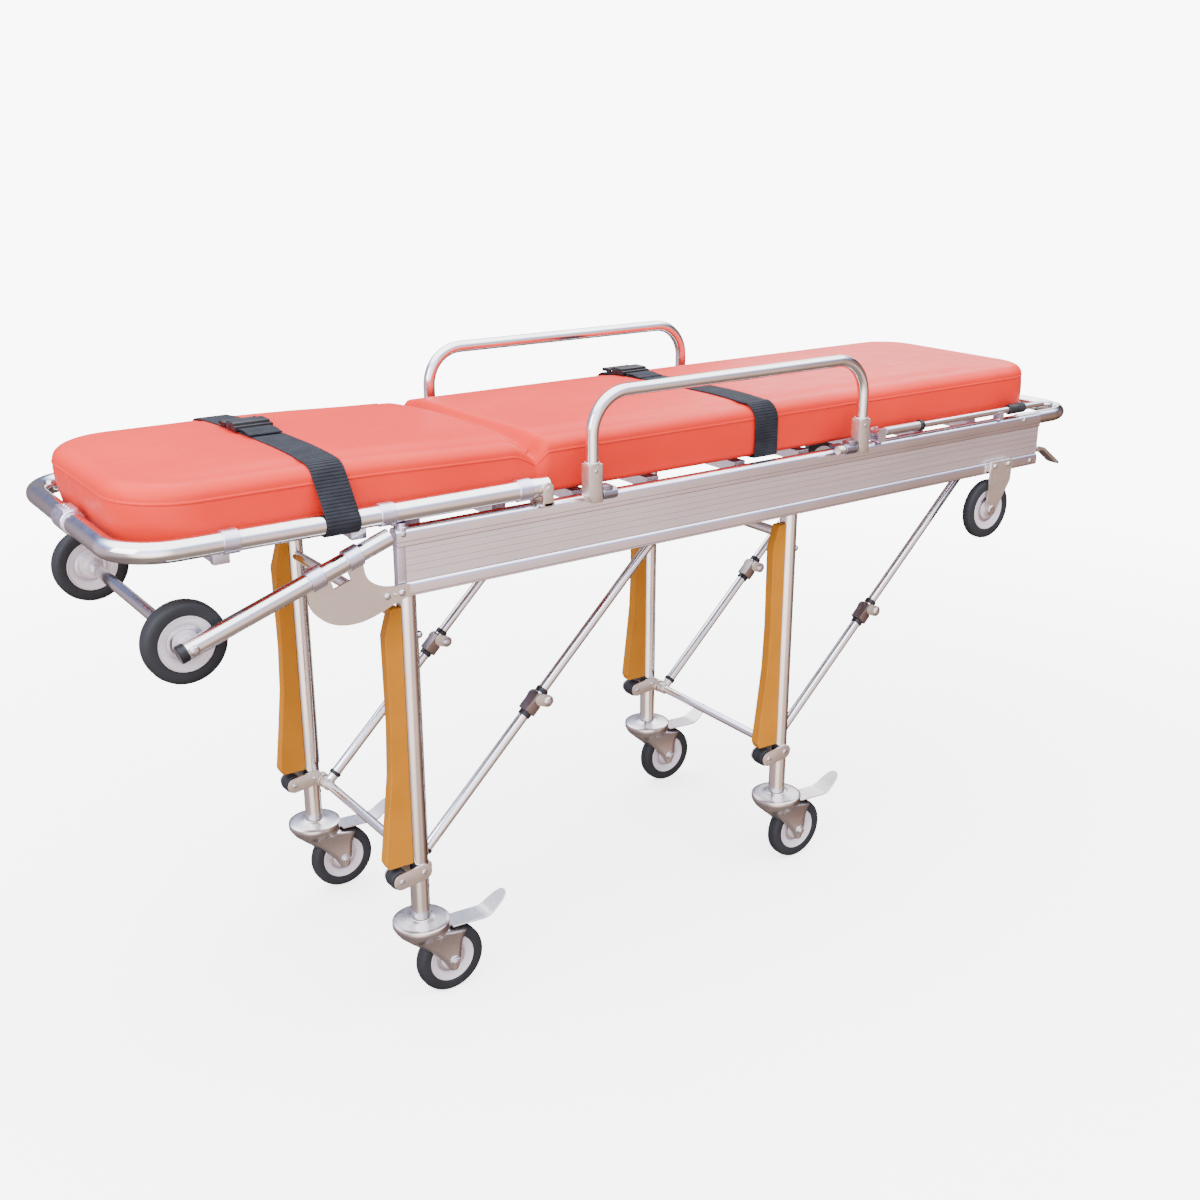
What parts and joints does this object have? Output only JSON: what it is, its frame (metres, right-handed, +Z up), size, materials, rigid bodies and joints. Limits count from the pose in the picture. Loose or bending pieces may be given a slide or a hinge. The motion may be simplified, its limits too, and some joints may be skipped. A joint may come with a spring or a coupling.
{
  "type": "ambulance cot",
  "caption": "Wheeled ambulance cot with folding braced legs, loading wheels, raising back, padded mattress, straps, side rails and infusion pole.",
  "frame": {"origin": "centre of the bounding box's base, on the floor under the middle of the cot", "axes": "+X towards the foot end, +Y towards the patient's left, +Z up"},
  "size_m": [1.9973, 0.5438, 0.9979],
  "materials": {
    "polished_tube": "polished",
    "aluminium": "satin anodised",
    "steel_plate": "plated, satin",
    "guard_plastic": "moulded, satin",
    "rubber": "matt tyre on a light rim",
    "vinyl": "soft vinyl, satin",
    "webbing": "ribbed webbing"
  },
  "bodies": {
    "chassis": {"bed_frame": "steel_plate", "foot_loop": "polished_tube", "loading_axle": "polished_tube", "mattress_seat": "vinyl", "strap_seat": "webbing", "pole_bracket": "steel_plate", "beam_right": "aluminium", "loading_strut_right": "polished_tube", "strut_plate_right": "steel_plate", "transit_bracket_right": "steel_plate", "rail_hinge_head_right": "steel_plate", "rail_hinge_foot_right": "steel_plate", "beam_left": "aluminium", "loading_strut_left": "polished_tube", "strut_plate_left": "steel_plate", "transit_bracket_left": "steel_plate", "rail_hinge_head_left": "steel_plate", "rail_hinge_foot_left": "steel_plate"},
    "back_section": {"back_frame": "polished_tube", "mattress_back": "vinyl", "strap_back": "webbing"},
    "loading_wheel_right": {"loading_wheel_right": "rubber"},
    "transit_wheel_right": {"transit_wheel_right": "rubber"},
    "side_rail_right": {"side_rail_right": "polished_tube"},
    "latch_knob_right": {"latch_knob_right": "steel_plate"},
    "loading_wheel_left": {"loading_wheel_left": "rubber"},
    "transit_wheel_left": {"transit_wheel_left": "rubber"},
    "side_rail_left": {"side_rail_left": "polished_tube"},
    "latch_knob_left": {"latch_knob_left": "steel_plate"},
    "pole_outer": {"pole_outer": "polished_tube"},
    "pole_inner": {"pole_inner": "polished_tube"},
    "release_handle": {"release_handle": "steel_plate"},
    "leg_front": {"leg_frame_front": "polished_tube", "leg_guard_front_right": "guard_plastic", "leg_guard_front_left": "guard_plastic"},
    "lower_brace_front": {"lower_brace_frame_front": "polished_tube"},
    "upper_brace_front_right": {"upper_brace_front_right": "polished_tube"},
    "roller_front_right": {"roller_front_right": "rubber"},
    "caster_front_right": {"caster_fork_front_right": "steel_plate"},
    "caster_wheel_front_right": {"caster_wheel_front_right": "rubber"},
    "brake_pedal_front_right": {"brake_pedal_front_right": "steel_plate"},
    "upper_brace_front_left": {"upper_brace_front_left": "polished_tube"},
    "roller_front_left": {"roller_front_left": "rubber"},
    "caster_front_left": {"caster_fork_front_left": "steel_plate"},
    "caster_wheel_front_left": {"caster_wheel_front_left": "rubber"},
    "brake_pedal_front_left": {"brake_pedal_front_left": "steel_plate"},
    "leg_rear": {"leg_frame_rear": "polished_tube", "leg_guard_rear_right": "guard_plastic", "leg_guard_rear_left": "guard_plastic"},
    "lower_brace_rear": {"lower_brace_frame_rear": "polished_tube"},
    "upper_brace_rear_right": {"upper_brace_rear_right": "polished_tube"},
    "roller_rear_right": {"roller_rear_right": "rubber"},
    "caster_rear_right": {"caster_fork_rear_right": "steel_plate"},
    "caster_wheel_rear_right": {"caster_wheel_rear_right": "rubber"},
    "brake_pedal_rear_right": {"brake_pedal_rear_right": "steel_plate"},
    "upper_brace_rear_left": {"upper_brace_rear_left": "polished_tube"},
    "roller_rear_left": {"roller_rear_left": "rubber"},
    "caster_rear_left": {"caster_fork_rear_left": "steel_plate"},
    "caster_wheel_rear_left": {"caster_wheel_rear_left": "rubber"},
    "brake_pedal_rear_left": {"brake_pedal_rear_left": "steel_plate"}
  },
  "joints": [
    {"name": "back_raise", "type": "hinge", "parent": "chassis", "child": "back_section", "pos_m": [-0.33, 0, 0.848], "axis": [0, 1, 0], "range_deg": [0, 75]},
    {"name": "loading_wheel_right_spin", "type": "hinge", "parent": "chassis", "child": "loading_wheel_right", "pos_m": [-0.903, -0.217, 0.7114], "axis": [0, 1, 0], "continuous": true},
    {"name": "transit_wheel_right_spin", "type": "hinge", "parent": "chassis", "child": "transit_wheel_right", "pos_m": [0.725, -0.2373, 0.645], "axis": [0, 1, 0], "continuous": true},
    {"name": "side_rail_right_fold", "type": "hinge", "parent": "chassis", "child": "side_rail_right", "pos_m": [0.04, -0.262, 0.828], "axis": [1, 0, 0], "range_deg": [0, 160]},
    {"name": "latch_knob_right_pull", "type": "slide", "parent": "chassis", "child": "latch_knob_right", "axis": [-1, 0, 0], "range_m": [0, 0.004], "stiffness_N_per_m": 400},
    {"name": "loading_wheel_left_spin", "type": "hinge", "parent": "chassis", "child": "loading_wheel_left", "pos_m": [-0.903, 0.217, 0.7114], "axis": [0, 1, 0], "continuous": true},
    {"name": "transit_wheel_left_spin", "type": "hinge", "parent": "chassis", "child": "transit_wheel_left", "pos_m": [0.725, 0.2373, 0.645], "axis": [0, 1, 0], "continuous": true},
    {"name": "side_rail_left_fold", "type": "hinge", "parent": "chassis", "child": "side_rail_left", "pos_m": [0.04, 0.262, 0.828], "axis": [-1, 0, 0], "range_deg": [0, 160]},
    {"name": "latch_knob_left_pull", "type": "slide", "parent": "chassis", "child": "latch_knob_left", "axis": [-1, 0, 0], "range_m": [0, 0.004], "stiffness_N_per_m": 400},
    {"name": "pole_raise", "type": "hinge", "parent": "chassis", "child": "pole_outer", "pos_m": [0.405, -0.2365, 0.84], "axis": [0, -1, 0], "range_deg": [0, 90]},
    {"name": "pole_extend", "type": "slide", "parent": "pole_outer", "child": "pole_inner", "axis": [1, 0, 0], "range_m": [0, 0.09]},
    {"name": "release_pull", "type": "hinge", "parent": "chassis", "child": "release_handle", "pos_m": [0.87, -0.232, 0.748], "axis": [0, -1, 0], "range_deg": [0, 20], "stiffness_Nm_per_rad": 2},
    {"name": "leg_fold_front", "type": "hinge", "parent": "chassis", "child": "leg_front", "pos_m": [-0.559, 0, 0.735], "axis": [0, -1, 0], "range_deg": [0, 80]},
    {"name": "lower_brace_front_turn", "type": "hinge", "parent": "leg_front", "child": "lower_brace_front", "pos_m": [-0.543, 0, 0.234], "axis": [0, -1, 0], "range_deg": [0, 38.4]},
    {"name": "upper_brace_front_right_turn", "type": "hinge", "parent": "lower_brace_front", "child": "upper_brace_front_right", "pos_m": [-0.29135, -0.172, 0.46011], "axis": [0, -1, 0], "range_deg": [-176, 0]},
    {"name": "roller_front_right_spin", "type": "hinge", "parent": "leg_front", "child": "roller_front_right", "pos_m": [-0.598, -0.2075, 0.237], "axis": [0, 1, 0], "continuous": true},
    {"name": "caster_front_right_swivel", "type": "hinge", "parent": "leg_front", "child": "caster_front_right", "pos_m": [-0.559, -0.2075, 0.15], "axis": [0, 0, 1], "continuous": true},
    {"name": "caster_wheel_front_right_spin", "type": "hinge", "parent": "caster_front_right", "child": "caster_wheel_front_right", "pos_m": [-0.5095, -0.2075, 0.0594], "axis": [0, 1, 0], "continuous": true},
    {"name": "brake_pedal_front_right_press", "type": "hinge", "parent": "caster_front_right", "child": "brake_pedal_front_right", "pos_m": [-0.507, -0.2075, 0.1265], "axis": [0, 1, 0], "range_deg": [0, 10]},
    {"name": "upper_brace_front_left_turn", "type": "hinge", "parent": "lower_brace_front", "child": "upper_brace_front_left", "pos_m": [-0.29135, 0.172, 0.46011], "axis": [0, -1, 0], "range_deg": [-176, 0]},
    {"name": "roller_front_left_spin", "type": "hinge", "parent": "leg_front", "child": "roller_front_left", "pos_m": [-0.598, 0.2075, 0.237], "axis": [0, 1, 0], "continuous": true},
    {"name": "caster_front_left_swivel", "type": "hinge", "parent": "leg_front", "child": "caster_front_left", "pos_m": [-0.559, 0.2075, 0.15], "axis": [0, 0, 1], "continuous": true},
    {"name": "caster_wheel_front_left_spin", "type": "hinge", "parent": "caster_front_left", "child": "caster_wheel_front_left", "pos_m": [-0.5095, 0.2075, 0.0594], "axis": [0, 1, 0], "continuous": true},
    {"name": "brake_pedal_front_left_press", "type": "hinge", "parent": "caster_front_left", "child": "brake_pedal_front_left", "pos_m": [-0.507, 0.2075, 0.1265], "axis": [0, 1, 0], "range_deg": [0, 10]},
    {"name": "leg_fold_rear", "type": "hinge", "parent": "chassis", "child": "leg_rear", "pos_m": [0.219, 0, 0.735], "axis": [0, -1, 0], "range_deg": [0, 80]},
    {"name": "lower_brace_rear_turn", "type": "hinge", "parent": "leg_rear", "child": "lower_brace_rear", "pos_m": [0.235, 0, 0.234], "axis": [0, -1, 0], "range_deg": [0, 38.4]},
    {"name": "upper_brace_rear_right_turn", "type": "hinge", "parent": "lower_brace_rear", "child": "upper_brace_rear_right", "pos_m": [0.48665, -0.172, 0.46011], "axis": [0, -1, 0], "range_deg": [-176, 0]},
    {"name": "roller_rear_right_spin", "type": "hinge", "parent": "leg_rear", "child": "roller_rear_right", "pos_m": [0.18, -0.2075, 0.237], "axis": [0, 1, 0], "continuous": true},
    {"name": "caster_rear_right_swivel", "type": "hinge", "parent": "leg_rear", "child": "caster_rear_right", "pos_m": [0.219, -0.2075, 0.15], "axis": [0, 0, 1], "continuous": true},
    {"name": "caster_wheel_rear_right_spin", "type": "hinge", "parent": "caster_rear_right", "child": "caster_wheel_rear_right", "pos_m": [0.2685, -0.2075, 0.0594], "axis": [0, 1, 0], "continuous": true},
    {"name": "brake_pedal_rear_right_press", "type": "hinge", "parent": "caster_rear_right", "child": "brake_pedal_rear_right", "pos_m": [0.271, -0.2075, 0.1265], "axis": [0, 1, 0], "range_deg": [0, 10]},
    {"name": "upper_brace_rear_left_turn", "type": "hinge", "parent": "lower_brace_rear", "child": "upper_brace_rear_left", "pos_m": [0.48665, 0.172, 0.46011], "axis": [0, -1, 0], "range_deg": [-176, 0]},
    {"name": "roller_rear_left_spin", "type": "hinge", "parent": "leg_rear", "child": "roller_rear_left", "pos_m": [0.18, 0.2075, 0.237], "axis": [0, 1, 0], "continuous": true},
    {"name": "caster_rear_left_swivel", "type": "hinge", "parent": "leg_rear", "child": "caster_rear_left", "pos_m": [0.219, 0.2075, 0.15], "axis": [0, 0, 1], "continuous": true},
    {"name": "caster_wheel_rear_left_spin", "type": "hinge", "parent": "caster_rear_left", "child": "caster_wheel_rear_left", "pos_m": [0.2685, 0.2075, 0.0594], "axis": [0, 1, 0], "continuous": true},
    {"name": "brake_pedal_rear_left_press", "type": "hinge", "parent": "caster_rear_left", "child": "brake_pedal_rear_left", "pos_m": [0.271, 0.2075, 0.1265], "axis": [0, 1, 0], "range_deg": [0, 10]}
  ],
  "couplings": [
    {"joint": "lower_brace_front_turn", "follows": "leg_fold_front", "ratio": 0.48},
    {"joint": "upper_brace_front_right_turn", "follows": "leg_fold_front", "ratio": -2.2},
    {"joint": "upper_brace_front_left_turn", "follows": "leg_fold_front", "ratio": -2.2},
    {"joint": "lower_brace_rear_turn", "follows": "leg_fold_rear", "ratio": 0.48},
    {"joint": "upper_brace_rear_right_turn", "follows": "leg_fold_rear", "ratio": -2.2},
    {"joint": "upper_brace_rear_left_turn", "follows": "leg_fold_rear", "ratio": -2.2}
  ]
}
